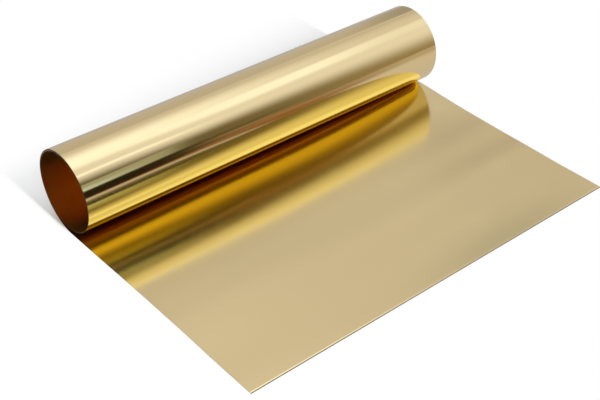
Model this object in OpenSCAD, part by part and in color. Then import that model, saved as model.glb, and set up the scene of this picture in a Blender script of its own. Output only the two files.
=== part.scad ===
// One piece of thin brass sheet. The front of it lies flat, and the rest is wound up into an open roll.
// +X runs along the roll, +Y from the free edge towards the roll and +Z up.
// The sheet rests on z = 0, and the origin is in the middle of its footprint. Lengths are in millimetres.

/* [Sheet] */
// width of the sheet, which is the length of the roll
sheet_width = 300; // [150:5:450]
// length of the sheet, measured along it from the free edge to its inner end
sheet_length = 500; // [400:5:900]
// thickness of the sheet
sheet_thickness = 0.2; // [0.1:0.05:0.5]
// length that lies flat, from the free edge to where the sheet lifts into the roll
flat_length = 183.5; // [100:0.5:260]

/* [Roll] */
// outside diameter of the roll
roll_diameter = 57; // [40:0.5:80]
// clear height from the flat sheet up to the front of the roll, where its first turn comes round
lift = 2.6; // [0.5:0.1:6]
// clear gap between the turns at the bottom of the roll
resting_gap = 0.1; // [0.05:0.05:0.4]
// clear gap between the turns at the top, where the loose inner turn has sagged
sagging_gap = 0.9; // [0.4:0.1:2]
// clear gap between the turns at the front and the back
side_gap = 0.3; // [0.1:0.1:0.8]

/* [Hidden] */
$fn = 180;
brass = [0.85, 0.70, 0.40];

// The roll stands off behind the line where the sheet lifts, as far as its first turn comes round above it.
rise = sheet_thickness + lift;
radius = roll_diameter / 2;
wound_length = sheet_length - flat_length;
// the footprint runs from the free edge to the back of the roll
lift_y = (flat_length - rise - roll_diameter / 2) / 2;
// more quarter turns than the longest sheet can need
most_quarters = 32;

// The roll is a chain of quarter turns from side to side, and its sides are the bottom, back, top and front.
function facing(side) = [[0, -1], [1, 0], [0, 1], [-1, 0]][side % 4];

// How far the outer face of each turn reaches, from the line where the sheet lifts. The first quarter climbs
// from the flat sheet. Each turn after it lies inside the one before by the thickness and the gap there.
function inset(turns, gap) = turns * (sheet_thickness + gap);
function bottom_z(turn) = turn == 0 ? 0 : rise + inset(turn - 1, resting_gap);
function back_y(turn) = rise + radius - inset(turn, side_gap);
function top_z(turn) = rise + roll_diameter - inset(turn, sagging_gap);
function front_y(turn) = rise - radius + inset(turn, side_gap);
function reach(side) =
  let (turn = floor(side / 4))
    [-bottom_z(turn), back_y(turn), top_z(turn), -front_y(turn)][side % 4];

// Centre and outer radius of quarter k, which runs from side k to side k + 1. Its centre lies on the line
// from the last quarter's centre to the point where they join, so the sheet bends on there without a kink.
function quarter(k) =
  k < 0 ? [[0, 0], 0] :
  let (
    last = quarter(k - 1),
    outer = reach(k + 1) - last[0] * facing(k + 1)
  )
    [last[0] + (last[1] - outer) * facing(k), outer];
function middle_radius(k) = quarter(k)[1] - sheet_thickness / 2;

// length of sheet used up before quarter k
function used_length(k) = k == 0 ? 0 : used_length(k - 1) + PI / 2 * middle_radius(k - 1);
quarters = len([for (k = [0 : most_quarters]) if (used_length(k) < wound_length) k]);

// a whole quarter turn, or for the last one the angle at which the sheet ends
function sweep(k) = min(90, (wound_length - used_length(k)) / middle_radius(k) * 180 / PI);

// Wedge between two angles, which are counted from straight down towards the back of the roll
module wedge(from, to) {
  far = 2 * roll_diameter;
  polygon([
    [0, 0],
    for (a = [from, (from + to) / 2, to])
      [far * sin(a), -far * cos(a)]
  ]);
}

// Quarter k of the section, which may stop short where the sheet ends
module quarter_turn(k) {
  outer = quarter(k)[1];
  start = 90 * (k % 4);
  translate(quarter(k)[0])
    intersection() {
      difference() {
        circle(r = outer);
        circle(r = outer - sheet_thickness);
      }
      wedge(start, start + sweep(k));
    }
}

// Section of the sheet across the roll, with the line where it lifts at the origin
module section() {
  translate([-flat_length, 0])
    square([flat_length, sheet_thickness]);
  for (k = [0 : quarters - 1])
    quarter_turn(k);
}

module brass_sheet() {
  color(brass)
    translate([0, lift_y, 0])
      rotate([90, 0, 90])
        linear_extrude(height = sheet_width, center = true)
          section();
}

brass_sheet();
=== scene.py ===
import math

import bpy
import numpy as np
from mathutils import Matrix, Vector


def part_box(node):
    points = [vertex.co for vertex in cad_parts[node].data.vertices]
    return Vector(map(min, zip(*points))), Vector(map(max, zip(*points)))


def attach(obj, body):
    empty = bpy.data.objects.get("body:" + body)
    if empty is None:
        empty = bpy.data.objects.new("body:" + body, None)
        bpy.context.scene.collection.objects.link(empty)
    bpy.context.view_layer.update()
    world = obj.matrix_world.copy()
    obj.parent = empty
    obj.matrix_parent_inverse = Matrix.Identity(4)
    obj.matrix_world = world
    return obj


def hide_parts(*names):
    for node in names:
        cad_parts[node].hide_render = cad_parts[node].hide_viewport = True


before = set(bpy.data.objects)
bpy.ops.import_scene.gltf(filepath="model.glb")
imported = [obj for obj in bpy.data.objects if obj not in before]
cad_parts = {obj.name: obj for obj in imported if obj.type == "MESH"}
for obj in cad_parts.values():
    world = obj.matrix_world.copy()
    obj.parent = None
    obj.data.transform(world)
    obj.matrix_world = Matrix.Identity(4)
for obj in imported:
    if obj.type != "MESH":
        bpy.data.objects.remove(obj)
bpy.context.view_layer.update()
scene = bpy.context.scene


# A socket of a node tree. Arithmetic on it adds Math nodes.
class Wire:
    def __init__(self, board, socket):
        self.board = board
        self.socket = socket

    def math(self, operation, first, second=0.0):
        return self.board.node("ShaderNodeMath", {"operation": operation}, {0: first, 1: second})

    def __add__(self, other):
        return self.math("ADD", self, other)

    def __radd__(self, other):
        return self.math("ADD", other, self)

    def __sub__(self, other):
        return self.math("SUBTRACT", self, other)

    def __rsub__(self, other):
        return self.math("SUBTRACT", other, self)

    def __mul__(self, other):
        return self.math("MULTIPLY", self, other)

    def __rmul__(self, other):
        return self.math("MULTIPLY", other, self)

    def __truediv__(self, other):
        return self.math("DIVIDE", self, other)

    def __rtruediv__(self, other):
        return self.math("DIVIDE", other, self)

    def __neg__(self):
        return self.math("MULTIPLY", self, -1.0)

    def atLeast(self, other):
        return self.math("MAXIMUM", self, other)

    def atMost(self, other):
        return self.math("MINIMUM", self, other)

    def root(self):
        return self.math("SQRT", self)

    def size(self):
        return self.math("ABSOLUTE", self)

    # 0 before start and 1 past end, along a smooth S curve between them
    def fade(self, start, end):
        inputs = {"Value": self, "From Min": start, "From Max": end}
        return self.board.node("ShaderNodeMapRange", {"interpolation_type": "SMOOTHSTEP"}, inputs)

    # 1 between low and high, and 0 outside, with edges this soft
    def between(self, low, high, soft):
        return self.fade(low - soft, low + soft) * self.fade(high + soft, high - soft)


# A number or wire on its way from low to high
def blend(low, high, share):
    return low + (high - low) * share


# A node tree and the ways of adding to it
class Board:
    def __init__(self, owner):
        owner.use_nodes = True
        self.tree = owner.node_tree
        self.tree.nodes.clear()

    # any node: its type, its settings, and the values or wires of its sockets
    def node(self, kind, settings, inputs, output=0):
        made = self.tree.nodes.new(kind)
        for name, value in settings.items():
            setattr(made, name, value)
        for name, value in inputs.items():
            if isinstance(value, Wire):
                self.tree.links.new(value.socket, made.inputs[name])
            else:
                made.inputs[name].default_value = value
        return Wire(self, made.outputs[output]) if made.outputs else None

    def place(self, output):
        return self.node("ShaderNodeTexCoord", {}, {}, output)

    def split(self, vector):
        return [self.node("ShaderNodeSeparateXYZ", {}, {"Vector": vector}, axis) for axis in "XYZ"]

    def join(self, x, y, z):
        return self.node("ShaderNodeCombineXYZ", {}, {"X": x, "Y": y, "Z": z})

    def mixColour(self, factor, first, second):
        inputs = {0: factor, 6: first, 7: second}
        return self.node("ShaderNodeMix", {"data_type": "RGBA"}, inputs, 2)

    def scaleColour(self, colour, level):
        inputs = {0: colour, "Scale": level}
        return self.node("ShaderNodeVectorMath", {"operation": "SCALE"}, inputs)

    def glow(self, colour):
        return self.node("ShaderNodeEmission", {}, {"Color": colour, "Strength": 1.0})

    def noise(self, vector, scale, detail, roughness):
        inputs = {"Vector": vector, "Scale": scale, "Detail": detail, "Roughness": roughness}
        return self.node("ShaderNodeTexNoise", {"normalize": True}, inputs)

    def mixShader(self, factor, first, second):
        return self.node("ShaderNodeMixShader", {}, {0: factor, 1: first, 2: second})

    def surface(self, kind, shader):
        self.node(kind, {}, {"Surface": shader})


# Camera: the place and turn that put the sheet's outline where the photograph has it
cameraSettings = {
    "place": (-0.42684, -0.46948, 0.46566),
    "yaw": 0.70878,  # from +Y towards +X, in radians
    "pitch": 0.63443,  # downwards
    "roll": 0.00951,
    "lens": 71.257,
    "sensor": 36.0,
    "clip": 0.01,
}


# Three axes: forward from yaw and pitch, right level with the floor and up square to both. Then
# right and up are turned by roll about forward.
def makeCamera(settings):
    yaw = settings["yaw"]
    pitch = settings["pitch"]
    roll = settings["roll"]
    level = Vector((math.sin(yaw), math.cos(yaw), 0.0))
    forward = level * math.cos(pitch) - Vector((0.0, 0.0, math.sin(pitch)))
    right = Vector((math.cos(yaw), -math.sin(yaw), 0.0))
    up = right.cross(forward)
    turnedRight = right * math.cos(roll) + up * math.sin(roll)
    turnedUp = up * math.cos(roll) - right * math.sin(roll)
    turn = Matrix((turnedRight, turnedUp, -forward)).transposed()
    data = bpy.data.cameras.new("camera")
    data.lens = settings["lens"]
    data.sensor_width = settings["sensor"]
    data.clip_start = settings["clip"]
    camera = bpy.data.objects.new("camera", data)
    camera.matrix_world = Matrix.Translation(settings["place"]) @ turn.to_4x4()
    scene.collection.objects.link(camera)
    scene.camera = camera
    print("camera placed")


makeCamera(cameraSettings)


# Sheet: its overall sizes come from the frame, and these are the sizes that the box doesn't show
nodeLow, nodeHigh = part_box("brass_sheet")
sheetSettings = {
    "thickness": 0.0002,
    "length": 0.5,  # along the sheet, from the free edge to the inner end
    "lift": 0.0026,  # clear height of the roll's front above the flat sheet
    "restingGap": 0.0001,  # between the turns at the bottom
    "saggingGap": 0.0009,  # at the top
    "sideGap": 0.0003,  # and at the front and the back
    "flatStep": 0.002,
    "turnStep": math.radians(1.2),
    "columns": 40,
    "sharp": math.radians(40),  # edges that bend more than this are sharp
    "bulge": 0.0011,  # how far the sheet stands up in front of the roll at the left end
    "bulgePeak": -0.090,  # along the sheet, counted from the lift line
    "bulgeSide": (0.0, -0.13),  # places along the roll where it starts and where it is whole
    "swell": 0.0001,  # height of the swells beside the free edge, above and below their middle
    "swellLength": 0.052,
    "swellStart": 0.049,  # along the sheet, where one rises through its middle
    "swellFade": (0.125, 0.075),  # they are gone at the first of these places, whole at the second
    "curl": 0.0033,  # how far the sheet rises to the roll at the right end
    "curlFrom": 0.0,  # place along the roll where it starts to
    "curlPeak": -0.008,  # along the sheet, counted from the lift line
    "curlReach": 0.038,
    "curlStart": (-0.16, -0.09),  # it comes in between these places
    "curlEnd": (0.020, -0.014),  # and is gone at the first of these, whole at the second
    "bottomShift": (0.0006, -0.0006),  # how far the bottom moves up at the left and the right end
    "climb": 0.049,  # length of sheet over which that comes in
}


# Quarter turns of the roll, from side to side: bottom, back, top, front. The first one climbs from
# the line where the flat sheet lifts. Each turn reaches less far than the one before, by the
# thickness and the gap at that side, and each centre lies where the sheet bends on without a kink.
# Places count from the lift line. Each is (arc length before it, middle radius, centre, angle it
# starts at, angle it sweeps).
def quarterTurns(settings, rise, diameter, woundLength):
    thickness = settings["thickness"]
    sides = [-rise, rise + diameter / 2, rise + diameter, diameter / 2 - rise]
    sideGap = settings["sideGap"]
    gaps = [settings["restingGap"], sideGap, settings["saggingGap"], sideGap]
    facing = np.array([(0.0, -1.0), (1.0, 0.0), (0.0, 1.0), (-1.0, 0.0)])
    turns = []
    centre = np.zeros(2)
    outer = 0.0
    used = 0.0
    while used < woundLength:
        start = len(turns) % 4
        turn, side = divmod(len(turns) + 1, 4)
        inset = (turn - 1 if side == 0 else turn) * (thickness + gaps[side])
        nextOuter = sides[side] - inset - centre @ facing[side]
        centre = centre + (outer - nextOuter) * facing[start]
        outer = nextOuter
        middle = outer - thickness / 2
        sweep = min(math.pi / 2, (woundLength - used) / middle)
        turns.append((used, middle, centre, start * math.pi / 2, sweep))
        used += middle * math.pi / 2
    return turns


# Middle line of the section: straight along y up to the roll, then an arc of each quarter turn's
# radius. At angle a, counted from straight down towards the back, the point is
# centre + radius * (sin a, -cos a), and the normal that points into the roll is (-sin a, cos a).
def sectionLine(settings):
    rise = settings["thickness"] + settings["lift"]
    diameter = nodeHigh.z - rise
    liftY = nodeHigh.y - diameter / 2 - rise
    flatLength = liftY - nodeLow.y
    flatCount = round(flatLength / settings["flatStep"])
    flatY = np.linspace(-flatLength, 0.0, flatCount, endpoint=False)
    points = [np.stack([flatY, np.full(flatCount, settings["thickness"] / 2)], axis=1)]
    normals = [np.tile([0.0, 1.0], (flatCount, 1))]
    along = [flatLength + flatY]
    turns = quarterTurns(settings, rise, diameter, settings["length"] - flatLength)
    for used, radius, centre, start, sweep in turns:
        last = used == turns[-1][0]
        count = math.ceil(sweep / settings["turnStep"])
        angle = np.linspace(0.0, sweep, count + last, endpoint=last)
        outward = np.stack([np.sin(start + angle), -np.cos(start + angle)], axis=1)
        points.append(centre + radius * outward)
        normals.append(-outward)
        along.append(flatLength + used + radius * angle)
    points = np.concatenate(points) + np.array([liftY, 0.0])
    return np.concatenate(along), points, np.concatenate(normals), liftY


# 0 before start and 1 past end, along a smooth S curve between them
def smoothStep(value, start, end):
    share = np.clip((value - start) / (end - start), 0.0, 1.0)
    return share * share * (3.0 - 2.0 * share)


# How far the sheet stands above the plain section, by the distance past the lift line and the place
# along the roll. Beside the free edge it has low swells, a sine that dies out. To the left it has a
# low bulge, which rises and falls along S curves. To the right it curls up towards the roll, as
# 1 / (1 + distance^2). The roll's bottom leans a little from its left end to its right one.
def sheetLift(settings, past, across, height):
    peak = settings["bulgePeak"]
    bulge = smoothStep(past, 0.0, peak) * smoothStep(past, past[0], peak)
    bulge = settings["bulge"] * bulge * smoothStep(across, *settings["bulgeSide"])
    along = past - past[0]
    swellTurn = (along - settings["swellStart"]) * (math.tau / settings["swellLength"])
    swell = settings["swell"] * (1.0 + np.sin(swellTurn))
    swell = swell * smoothStep(along, *settings["swellFade"])
    curlFrom = settings["curlFrom"]
    rightShare = np.clip((across - curlFrom) / (nodeHigh.x - curlFrom), 0.0, 1.0)
    curl = settings["curl"] / (1.0 + ((past - settings["curlPeak"]) / settings["curlReach"]) ** 2)
    curl = curl * smoothStep(past, *settings["curlStart"]) * smoothStep(past, *settings["curlEnd"])
    lean = np.interp(across, [nodeLow.x, nodeHigh.x], settings["bottomShift"])
    low = smoothStep(past, 0.0, settings["climb"]) * (1.0 - height / nodeHigh.z)
    return swell + bulge + curl * rightShare ** 2 + lean * low


# Closed surface of the sheet: the section's loop runs out along the upper face and back along the
# lower one, each half a thickness from the middle line. It is carried across the width and lifted.
# The two ends are closed by quads across the thickness. The map holds the distance along the sheet
# and the place across it, in metres. Finish 0 is the upper face, which becomes the bore, 1 the face
# that shows on the roll and 2 the cut edges.
def makeSheet(settings):
    width = nodeHigh.x - nodeLow.x
    along, points, normals, liftY = sectionLine(settings)
    half = settings["thickness"] / 2
    loop = np.concatenate([points + half * normals, (points - half * normals)[::-1]])
    loopAlong = np.concatenate([along, along[::-1]])
    across = np.linspace(nodeLow.x, nodeHigh.x, settings["columns"] + 1)
    rows = len(loop)
    columns = len(across)
    vertices = np.empty((rows, columns, 3))
    vertices[:, :, 0] = across[None, :]
    vertices[:, :, 1] = loop[:, 0, None]
    vertices[:, :, 2] = loop[:, 1, None]
    past = (loopAlong - (liftY - nodeLow.y))[:, None]
    vertices[:, :, 2] += sheetLift(settings, past, across, vertices[:, :, 2])
    row = np.arange(rows)[:, None]
    column = np.arange(columns - 1)[None, :]
    nextRow = (row + 1) % rows
    here = row * columns + column
    there = nextRow * columns + column
    skin = np.stack([here, here + 1, there + 1, there], axis=2).reshape(-1, 4)
    step = np.arange(len(along) - 1)
    rim = np.stack([step, step + 1, rows - 2 - step, rows - 1 - step], axis=1) * columns
    faces = np.concatenate([skin, rim, rim[:, ::-1] + columns - 1])
    mesh = bpy.data.meshes.new("brassSheet")
    mesh.from_pydata(vertices.reshape(-1, 3), [], faces)
    mesh.update()
    corner = np.empty(len(mesh.loops), dtype=np.int32)
    mesh.loops.foreach_get("vertex_index", corner)
    flatMap = np.stack([np.repeat(loopAlong, columns), np.tile(across, rows)], axis=1)
    sheetMap = mesh.uv_layers.new(name="sheetMap")
    sheetMap.data.foreach_set("uv", flatMap[corner].ravel())
    skinCount = len(skin)
    endRow = (len(along) - 1) * (columns - 1)
    finish = np.ones(len(faces), dtype=np.int32)
    finish[:endRow] = 0
    finish[endRow:endRow + columns - 1] = 2
    finish[skinCount - columns + 1:] = 2
    mesh.polygons.foreach_set("material_index", finish)
    mesh.shade_smooth()
    mesh.set_sharp_from_angle(angle=settings["sharp"])
    sheet = bpy.data.objects.new("brassSheet", mesh)
    scene.collection.objects.link(sheet)
    print("sheet made:", len(faces), "faces, width", round(1000 * width, 1), "mm")
    return sheet


sheet = makeSheet(sheetSettings)


# Brass: each further reflection in it is deeper in colour. The colours after one and after two or
# more reflections are painted on, set apart for each face (painted reflection colour). The face
# inside the roll is a little duller.
innerSettings = {
    "first": (0.92, 0.71, 0.40, 1.0),
    "second": (0.95, 0.80, 0.27, 1.0),
    "third": (0.86, 0.62, 0.05, 1.0),
    # inside the roll, two or more reflections are painted lighter (painted light in the bore), and
    # darker again over the top of the inner turn (painted shade)
    "bore": (0.96, 0.82, 0.40, 1.0),
    "boreFrom": 0.205,  # along the sheet, where it has climbed into the roll
    "boreFade": 0.03,
    "boreTop": (0.85, 0.70, 0.37, 1.0),
    "boreTopSpan": (0.405, 0.475, 0.02),  # from, to and softness, along the sheet
    "roughness": 0.14,
}
outerSettings = {
    "first": (0.92, 0.71, 0.40, 1.0),
    "second": (0.83, 0.70, 0.28, 1.0),
    "third": (0.76, 0.57, 0.08, 1.0),
    "roughness": 0.085,
}
reliefSettings = {
    "unit": 0.001,  # heights are in mm
    "waves": 0.45,
    "waveScale": (17.0, 4.0),  # along and across the sheet, per metre
    "waveNoise": (1.0, 1.0, 0.4),  # scale, detail and roughness
    "rounding": 0.28,
    "roundingSpan": (0.0015, 0.0002),
    "lines": 0.5,
    "lineScale": (12.0, 2400.0),
    "lineNoise": (1.0, 2.0, 0.6),
    "clouds": 0.5,
    "cloudScale": 30.0,
    "cloudPlane": 3.0,
    "cloudNoise": (1.0, 2.0, 0.5),
}
# painted darkening of the reflection: a greenish dim near the free edge on the right
paintedDimSettings = {
    "colour": (0.25, 0.30, 0.17, 1.0),
    "share": 0.22,
    "along": (0.034, 0.002),  # it grows towards the free edge between these
    "across": (0.01, 0.115, 0.05),  # from, to and softness
}
cutSettings = {
    "line": (0.0007, 0.0004),  # painted shadow: a dark line on the upper face at the free edge
    # painted highlight on the cut edge; painted shade on the rest of it and in the line at the free
    # edge
    "paintedHighlight": (0.98, 0.92, 0.82, 1.0),
    "paintedShade": (0.20, 0.13, 0.06, 1.0),
    "brightFrom": 0.215,  # along the sheet: up the back of the outer turn
    "brightTo": 0.297,  # and down the top of its front
    "soft": 0.006,
    "inner": (0.85, 0.66, 0.46, 1.0),  # painted highlight, lighter again over the top of the inner turn
    "innerFrom": 0.425,
    "innerTo": 0.458,
    "roughness": 0.5,
}


# Place on the sheet from its map: the distance along it and the distance across it
def sheetPlace(board):
    return board.split(board.node("ShaderNodeUVMap", {"uv_map": "sheetMap"}, {}))[:2]


# Colour is the first one at first sight, the second after one reflection and the third after two or
# more, as painted reflection colour. Inside the roll the third is painted lighter, and darker over
# the top of the inner turn. A greenish darkening of the reflection is painted near the free edge on
# the right, and a dark line along the free edge is painted shadow. Relief: long shallow waves
# across the rolling direction and a fall where the shears rounded the free edge. Roughness varies
# with fine lines along the rolling direction and with faint clouds.
def makeBrassFace(name, settings):
    material = bpy.data.materials.new(name)
    board = Board(material)
    along, across = sheetPlace(board)
    depth = board.node("ShaderNodeLightPath", {}, {}, "Glossy Depth")
    third = settings["third"]
    # painted light and shade in the bore, for two or more reflections inside the roll
    if "bore" in settings:
        climbed = along.fade(settings["boreFrom"], settings["boreFrom"] + settings["boreFade"])
        top = along.between(*settings["boreTopSpan"])
        bore = board.mixColour(top, settings["bore"], settings["boreTop"])
        third = board.mixColour(climbed, third, bore)
    # painted reflection colour: set by how many reflections came before
    colour = board.mixColour(depth, settings["first"], settings["second"])
    colour = board.mixColour(depth - 1.0, colour, third)
    # painted darkening of the reflection near the free edge on the right
    paintedDim = paintedDimSettings["share"] * along.fade(*paintedDimSettings["along"])
    paintedDim = paintedDim * across.between(*paintedDimSettings["across"])
    colour = board.mixColour(paintedDim, colour, paintedDimSettings["colour"])
    # painted shadow: a dark line along the free edge
    colour = board.mixColour(along.fade(*cutSettings["line"]), colour, cutSettings["paintedShade"])
    alongScale, acrossScale = reliefSettings["waveScale"]
    place = board.join(along * alongScale, across * acrossScale, 0.0)
    waves = board.noise(place, *reliefSettings["waveNoise"])
    fall = reliefSettings["rounding"] * along.fade(*reliefSettings["roundingSpan"])
    relief = reliefSettings["waves"] * waves - fall
    inputs = {"Strength": 1.0, "Distance": reliefSettings["unit"], "Height": relief}
    bump = board.node("ShaderNodeBump", {}, inputs)
    alongScale, acrossScale = reliefSettings["lineScale"]
    place = board.join(along * alongScale, across * acrossScale, 0.0)
    lines = board.noise(place, *reliefSettings["lineNoise"])
    scale = reliefSettings["cloudScale"]
    place = board.join(along * scale, across * scale, reliefSettings["cloudPlane"])
    clouds = board.noise(place, *reliefSettings["cloudNoise"])
    spread = reliefSettings["lines"] * (lines - 0.5) + reliefSettings["clouds"] * (clouds - 0.5)
    roughness = settings["roughness"] * (1.0 + spread)
    inputs = {"Base Color": colour, "Metallic": 1.0, "Roughness": roughness, "Normal": bump}
    board.surface("ShaderNodeOutputMaterial", board.node("ShaderNodeBsdfPrincipled", {}, inputs))
    return material


# The cut edge has a painted highlight on the outer turn, from its back over its top, a lighter
# painted highlight over the top of the inner turn, and painted shade elsewhere.
def makeCutEdge(settings):
    material = bpy.data.materials.new("cutEdge")
    board = Board(material)
    along = sheetPlace(board)[0]
    # painted highlights on the cut edge by place along the sheet, painted shade elsewhere
    paintedHighlight = along.between(settings["brightFrom"], settings["brightTo"], settings["soft"])
    inner = along.between(settings["innerFrom"], settings["innerTo"], settings["soft"])
    colour = board.mixColour(inner, settings["paintedShade"], settings["inner"])
    colour = board.mixColour(paintedHighlight, colour, settings["paintedHighlight"])
    inputs = {"Base Color": colour, "Metallic": 1.0, "Roughness": settings["roughness"]}
    board.surface("ShaderNodeOutputMaterial", board.node("ShaderNodeBsdfPrincipled", {}, inputs))
    return material


sheet.data.materials.append(makeBrassFace("innerBrass", innerSettings))
sheet.data.materials.append(makeBrassFace("outerBrass", outerSettings))
sheet.data.materials.append(makeCutEdge(cutSettings))
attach(sheet, "root")
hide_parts("brass_sheet")
print("brass finished")


# A stage piece of flat faces
def makeStage(name, vertices, faces, material):
    mesh = bpy.data.meshes.new(name)
    mesh.from_pydata(vertices, [], faces)
    mesh.materials.append(material)
    piece = bpy.data.objects.new(name, mesh)
    scene.collection.objects.link(piece)
    return piece


# Tent: four walls and a roof of pale cloth with dark cards on the front wall, far away and unseen
# by the camera. Two measures tell a place on it. Turn is the angle about the roll's line, in
# degrees: 0 straight up, 90 level in front, -90 level behind. Slant is how far the place leans
# along the roll, as a slope. The roll and the flat sheet both keep a ray's slant, so the bands on
# them follow turn. A setting of two numbers is where a change starts and ends, in turn or slant.
tentSettings = {
    "half": 30.0,  # half of its width and depth, and its height, in metres
    "wall": 0.544,  # light of the wall behind
    "wallCool": 0.09,  # more blue low on it
    "wallCoolTurn": (-60.0, -90.0),
    "riseFrom": -48.6,  # the roof grows lighter between these turns
    "riseTo": -9.1,
    "roofNear": 1.38,  # light of the roof to the left
    "roofFar": 0.76,  # and to the right
    "roofSlant": (0.817, 0.361),
    "ridge": 0.07,  # a lighter fold behind
    "ridgeTurn": -42.7,
    "ridgeHalf": 7.1,
    "crease": 0.045,  # and a narrow one on it
    "creaseTurn": -41.9,
    "creaseHalf": 2.4,
    "creaseGain": 1.3,  # it is stronger right of the middle
    "creaseSlant": (0.71, 0.87, 0.03),  # from, to and softness
    "sideShade": 0.30,  # the wall behind darkens to the right
    "sideShadeSlant": (0.74, 0.84),
    "sideShadeTurn": (-42.1, -44.0),
    "lampFrom": -5.8,  # back edge of the long lamp overhead
    "lampTo": 3.7,
    "lamp": 1.27,
    "lampLoss": 0.28,  # it is dimmer to the right
    "lampLossSlant": (0.686, 0.814),
    "lampEnd": 3.6,  # its front edge, which lies further forward to the right
    "lampEndLean": 11.4,
    "lampEndSlant": (0.42, 0.62),
    "lampFade": 13.0,
    "front": 0.90,  # light of the cloth in front of the lamp
    "patch": 0.394,  # a bright patch to the left
    "patchTurn": 30.1,
    "patchHalf": 5.5,
    "patchLean": 54.6,  # it lies lower to the right
    "patchLeanFrom": 0.46,
    "patchSlant": (0.588, 0.478),
    "glareFrom": 0.55,  # light above this turns from red towards blue
    "glareMost": 0.8,
    "glareRed": 0.15,
    "glareBlue": 0.19,
    "blue": 0.95,
    "fallFrom": 29.7,  # the front wall darkens between these turns, later to the right
    "fallFromLean": 7.2,
    "fallFromSlant": (0.42, 0.56),
    "fallTo": 55.8,
    "fallToLean": 7.4,
    "fallToMiddle": 0.42,
    "fallToReach": (-0.08, 0.16),  # least and most slant from the middle that counts
    "fallToFar": 93.0,
    "fallToFarFrom": 0.58,
    "fallToFarReach": 0.36,
    "darkNear": (0.117, 0.100, 0.038, 1.0),  # the dark at its foot, to the left and to the right
    "darkFar": (0.326, 0.277, 0.159, 1.0),
    "darkFrom": 0.514,
    "darkReach": 0.291,
    "valley": 0.35,  # a darker fold low on it, to the left
    "valleyTurn": 77.8,
    "valleyHalf": 5.0,
    "valleySlant": (0.70, 0.60),
    "copper": (0.355, 0.209, 0.110, 1.0),
    "copperSlant": 0.560,
    "copperHalf": 0.046,
    "copperLean": 0.010,  # slant it gains for each degree of turn, about its middle
    "copperMiddle": 80.0,
    "copperTurn": (74.6, 81.3),
    "nearBlack": (0.020, 0.014, 0.005, 1.0),
    "blackFrom": 71.3,
    "blackTo": 73.8,
    "blackSlant": 0.534,  # its right edge
    "blackSoft": 0.037,
    "pane": (0.384, 0.418, 0.318, 1.0),
    "paneCool": (0.60, 0.78, 0.80, 1.0),
    "paneCoolSlant": (0.49, 0.40),
    "paneCoolTurn": (60.0, 68.0),
    "paneSlant": 0.514,  # its right edge
    "paneSlantSoft": 0.004,
    "paneTurn": (54.3, 70.8, 1.2),  # from, to and softness
}


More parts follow.
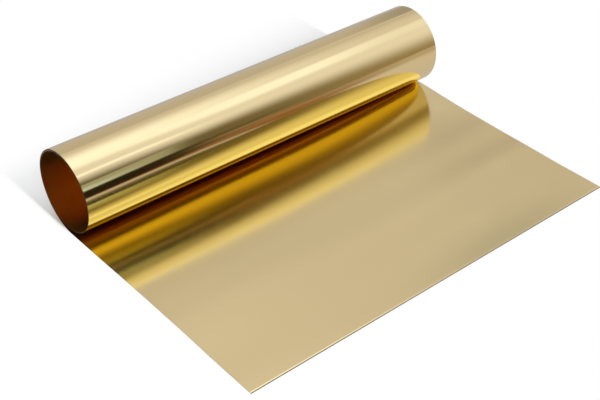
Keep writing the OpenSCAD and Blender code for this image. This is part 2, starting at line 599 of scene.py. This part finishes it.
# Its light is worked out in steps from the wall behind over the roof to the front, each blended in
# by turn and slant, and the cards lie over that.
def makeTentCloth(settings):
    material = bpy.data.materials.new("tentCloth")
    board = Board(material)
    x, y, z = board.split(board.place("Object"))
    turn = y.math("ARCTAN2", -y, z) * (180 / math.pi)
    slant = x / (y * y + z * z).root()

    # wall behind, and the roof that grows lighter from it
    near = slant.fade(*settings["roofSlant"])
    roof = blend(settings["roofFar"], settings["roofNear"], near)
    light = blend(settings["wall"], roof, turn.fade(settings["riseFrom"], settings["riseTo"]))
    fold = (turn - settings["ridgeTurn"]).size().fade(settings["ridgeHalf"], 0.0)
    shaded = settings["sideShade"] * slant.fade(*settings["sideShadeSlant"])
    shaded = shaded * turn.fade(*settings["sideShadeTurn"])
    crease = (turn - settings["creaseTurn"]).size().fade(settings["creaseHalf"], 0.0)
    crease = crease * (1.0 + settings["creaseGain"] * slant.between(*settings["creaseSlant"]))
    light = (light + settings["ridge"] * fold + settings["crease"] * crease) * (1.0 - shaded)

    # long lamp overhead, the cloth in front of it and a bright patch there
    lamp = settings["lamp"] - settings["lampLoss"] * slant.fade(*settings["lampLossSlant"])
    light = blend(light, lamp, turn.fade(settings["lampFrom"], settings["lampTo"]))
    lampEnd = settings["lampEnd"] + settings["lampEndLean"] * slant.fade(*settings["lampEndSlant"])
    light = blend(light, settings["front"], turn.fade(lampEnd, lampEnd + settings["lampFade"]))
    patchLean = settings["patchLean"] * (slant - settings["patchLeanFrom"]).atLeast(0.0)
    patchTurn = settings["patchTurn"] + patchLean
    patch = (turn - patchTurn).size().fade(settings["patchHalf"], 0.0)
    light = light + settings["patch"] * (patch * slant.fade(*settings["patchSlant"]))
    cool = settings["wallCool"] * turn.fade(*settings["wallCoolTurn"])
    glare = (light - settings["glareFrom"]).atLeast(0.0).atMost(settings["glareMost"])
    red = light * (1.0 - settings["glareRed"] * glare)
    blue = light * (settings["blue"] + settings["glareBlue"] * glare + cool)
    cloth = board.join(red, light, blue)

    # front wall, which darkens downwards
    fallFrom = settings["fallFromLean"] * slant.fade(*settings["fallFromSlant"])
    fallFrom = settings["fallFrom"] + fallFrom
    least, most = settings["fallToReach"]
    middle = (slant - settings["fallToMiddle"]).atLeast(least).atMost(most)
    middle = middle * (settings["fallToLean"] / most)
    far = (slant - settings["fallToFarFrom"]).atLeast(0.0).atMost(settings["fallToFarReach"])
    fallTo = settings["fallTo"] + middle + settings["fallToFar"] * far
    further = (slant - settings["darkFrom"]) / settings["darkReach"]
    dark = board.mixColour(further, settings["darkNear"], settings["darkFar"])
    cloth = board.mixColour(turn.fade(fallFrom, fallTo), cloth, dark)
    valley = (turn - settings["valleyTurn"]).size().fade(settings["valleyHalf"], 0.0)
    valley = valley * slant.fade(*settings["valleySlant"])
    cloth = board.scaleColour(cloth, 1.0 - settings["valley"] * valley)

    # cards on it: a copper strip, a black one low on the left and a grey pane above that
    stripLean = settings["copperLean"] * (turn - settings["copperMiddle"])
    stripSlant = settings["copperSlant"] + stripLean
    strip = (slant - stripSlant).size().fade(settings["copperHalf"], 0.0)
    strip = strip * turn.fade(*settings["copperTurn"])
    cloth = board.mixColour(strip, cloth, settings["copper"])
    black = turn.fade(settings["blackFrom"], settings["blackTo"])
    edge = settings["blackSlant"]
    soft = settings["blackSoft"]
    black = black * slant.fade(edge + soft, edge - soft)
    cloth = board.mixColour(black, cloth, settings["nearBlack"])
    pane = turn.between(*settings["paneTurn"])
    edge = settings["paneSlant"]
    soft = settings["paneSlantSoft"]
    pane = pane * slant.fade(edge + soft, edge - soft)
    cool = slant.fade(*settings["paneCoolSlant"]) * turn.fade(*settings["paneCoolTurn"])
    paneColour = board.mixColour(cool, settings["pane"], settings["paneCool"])
    cloth = board.mixColour(pane, cloth, paneColour)
    board.surface("ShaderNodeOutputMaterial", board.glow(cloth))
    return material


def makeTent(settings):
    half = settings["half"]
    corners = [(-half, -half), (half, -half), (half, half), (-half, half)]
    vertices = [(x, y, z) for z in (0.0, half) for x, y in corners]
    faces = [(0, 1, 5, 4), (1, 2, 6, 5), (2, 3, 7, 6), (3, 0, 4, 7), (4, 5, 6, 7)]
    tent = makeStage("tent", vertices, faces, makeTentCloth(settings))
    tent.visible_camera = False
    tent.visible_shadow = False
    print("tent raised")


makeTent(tentSettings)


# Table: what the metal sees of the ground. It is pale beside and behind the sheet. In front a
# slanting line parts a dark brown ground on its left, grey further out, from a brown one on its
# right, olive further off. A setting of two numbers is where a change starts and ends, in metres or
# in widths of the spread.
tableSettings = {
    "half": 30.0,
    "drop": 0.0003,
    "pale": (0.64, 0.63, 0.59, 1.0),
    "behind": (0.50, 0.51, 0.52, 1.0),
    "core": (0.13, 0.10, 0.02, 1.0),
    "grey": (0.52, 0.49, 0.44, 1.0),
    "brown": (0.28, 0.135, 0.04, 1.0),
    "olive": (0.50, 0.46, 0.36, 1.0),
    "line": 0.06,  # where the slanting line starts along x, and how far it leans to the right
    "lineLean": 0.34,
    "spread": 0.07,  # width of the change at the line, and how it grows
    "spreadLean": 0.38,
    "coreOut": (0.35, 0.12),
    "coreAcross": (0.12, 0.03),
    "oliveBeyond": (0.3, 1.5),
    "lineBeyond": (-0.24, 0.15),
    "behindFrom": (0.0, 0.15),
    "frontFrom": (0.03, 0.14),
}


def makeTableTop(settings):
    material = bpy.data.materials.new("tableTop")
    board = Board(material)
    x, y = board.split(board.place("Object"))[:2]
    out = -y
    line = settings["line"] + settings["lineLean"] * out
    beyond = (x - line) / (settings["spread"] + settings["spreadLean"] * out.atLeast(0.0))
    core = out.fade(*settings["coreOut"]) * x.fade(*settings["coreAcross"])
    left = board.mixColour(core, settings["grey"], settings["core"])
    further = beyond.fade(*settings["oliveBeyond"])
    right = board.mixColour(further, settings["brown"], settings["olive"])
    front = board.mixColour(beyond.fade(*settings["lineBeyond"]), left, right)
    behind = y.fade(*settings["behindFrom"])
    pale = board.mixColour(behind, settings["pale"], settings["behind"])
    colour = board.mixColour(out.fade(*settings["frontFrom"]), pale, front)
    # the table glows with these colours and nothing lights it: painted light, the ground's
    # brightness as the metal sees it
    board.surface("ShaderNodeOutputMaterial", board.glow(colour))
    return material


# A flat square at height z
def square(half, z):
    return [(-half, -half, z), (half, -half, z), (half, half, z), (-half, half, z)]


def makeTable(settings):
    vertices = square(settings["half"], -settings["drop"])
    table = makeStage("table", vertices, [(0, 1, 2, 3)], makeTableTop(settings))
    table.visible_camera = False
    table.visible_diffuse = False
    table.visible_transmission = False
    table.visible_shadow = False
    print("table set")


makeTable(tableSettings)


# Floor: plain and white, just under the table, with the roll's shadow on it. The shadow fades away
# behind the roll, sooner to the left. The world is as white.
floorSettings = {
    "half": 3.0,
    "drop": 0.0004,
    "white": (1.0, 1.0, 1.0, 1.0),
    "paper": (0.790, 0.756, 0.743, 1.0),  # a little warm, because the tent's light is cool
    "shadeEnd": 0.2172,  # line behind the roll where the shadow has faded away
    "shadeLean": 0.28,  # it lies further back to the right
    "shadeLength": 0.08,  # depth over which it fades
    "shadeSide": 0.151,  # it keeps between the roll's ends
    "shadeSideSoft": 0.002,
    "shadeFront": 0.082,  # and behind this line
    "shadeFrontSoft": 0.01,
}


def makeFloor(settings):
    material = bpy.data.materials.new("whiteFloor")
    board = Board(material)
    x, y = board.split(board.place("Object"))[:2]
    share = (settings["shadeEnd"] + settings["shadeLean"] * x - y) / settings["shadeLength"]
    side = settings["shadeSide"]
    share = share.atLeast(0.0).atMost(1.0) * x.between(-side, side, settings["shadeSideSoft"])
    edge = settings["shadeFront"]
    soft = settings["shadeFrontSoft"]
    share = share * y.fade(edge - soft, edge + soft)
    lit = board.node("ShaderNodeBsdfDiffuse", {}, {"Color": settings["paper"]})
    seen = board.mixShader(share, board.glow(settings["white"]), lit)
    board.surface("ShaderNodeOutputMaterial", seen)
    makeStage("floor", square(settings["half"], -settings["drop"]), [(0, 1, 2, 3)], material)
    world = bpy.data.worlds.new("whiteBackground")
    scene.world = world
    board = Board(world)
    plain = board.node("ShaderNodeBackground", {}, {"Color": settings["white"], "Strength": 1.0})
    board.surface("ShaderNodeOutputWorld", plain)
    print("floor laid")


makeFloor(floorSettings)


# Lamp: a long strip in front of the roll, from low to high, which lights the floor and doesn't show
# in the metal. Its shadow is sharp beside the roll's ends and fades away behind the roll.
lampSettings = {
    "aim": (0.0, 0.09, 0.0),
    "distance": 20.0,
    "height": math.radians(32.5),
    "width": 1.2,
    "length": 8.5,
    "power": 4010.0,
}


def makeLamp(settings):
    rise = settings["height"]
    direction = Vector((0.0, -math.cos(rise), math.sin(rise)))
    data = bpy.data.lights.new("frontStrip", "AREA")
    data.shape = "RECTANGLE"
    data.size = settings["width"]
    data.size_y = settings["length"]
    data.energy = settings["power"]
    lamp = bpy.data.objects.new("frontStrip", data)
    lamp.location = Vector(settings["aim"]) + settings["distance"] * direction
    lamp.rotation_euler = direction.to_track_quat("Z", "Y").to_euler()
    lamp.visible_glossy = False
    scene.collection.objects.link(lamp)
    print("lamp hung")


makeLamp(lampSettings)

scene.view_settings.view_transform = "Standard"
scene.cycles.max_bounces = 20  # enough for the light that finds its way out of the bore
scene.cycles.glossy_bounces = 16
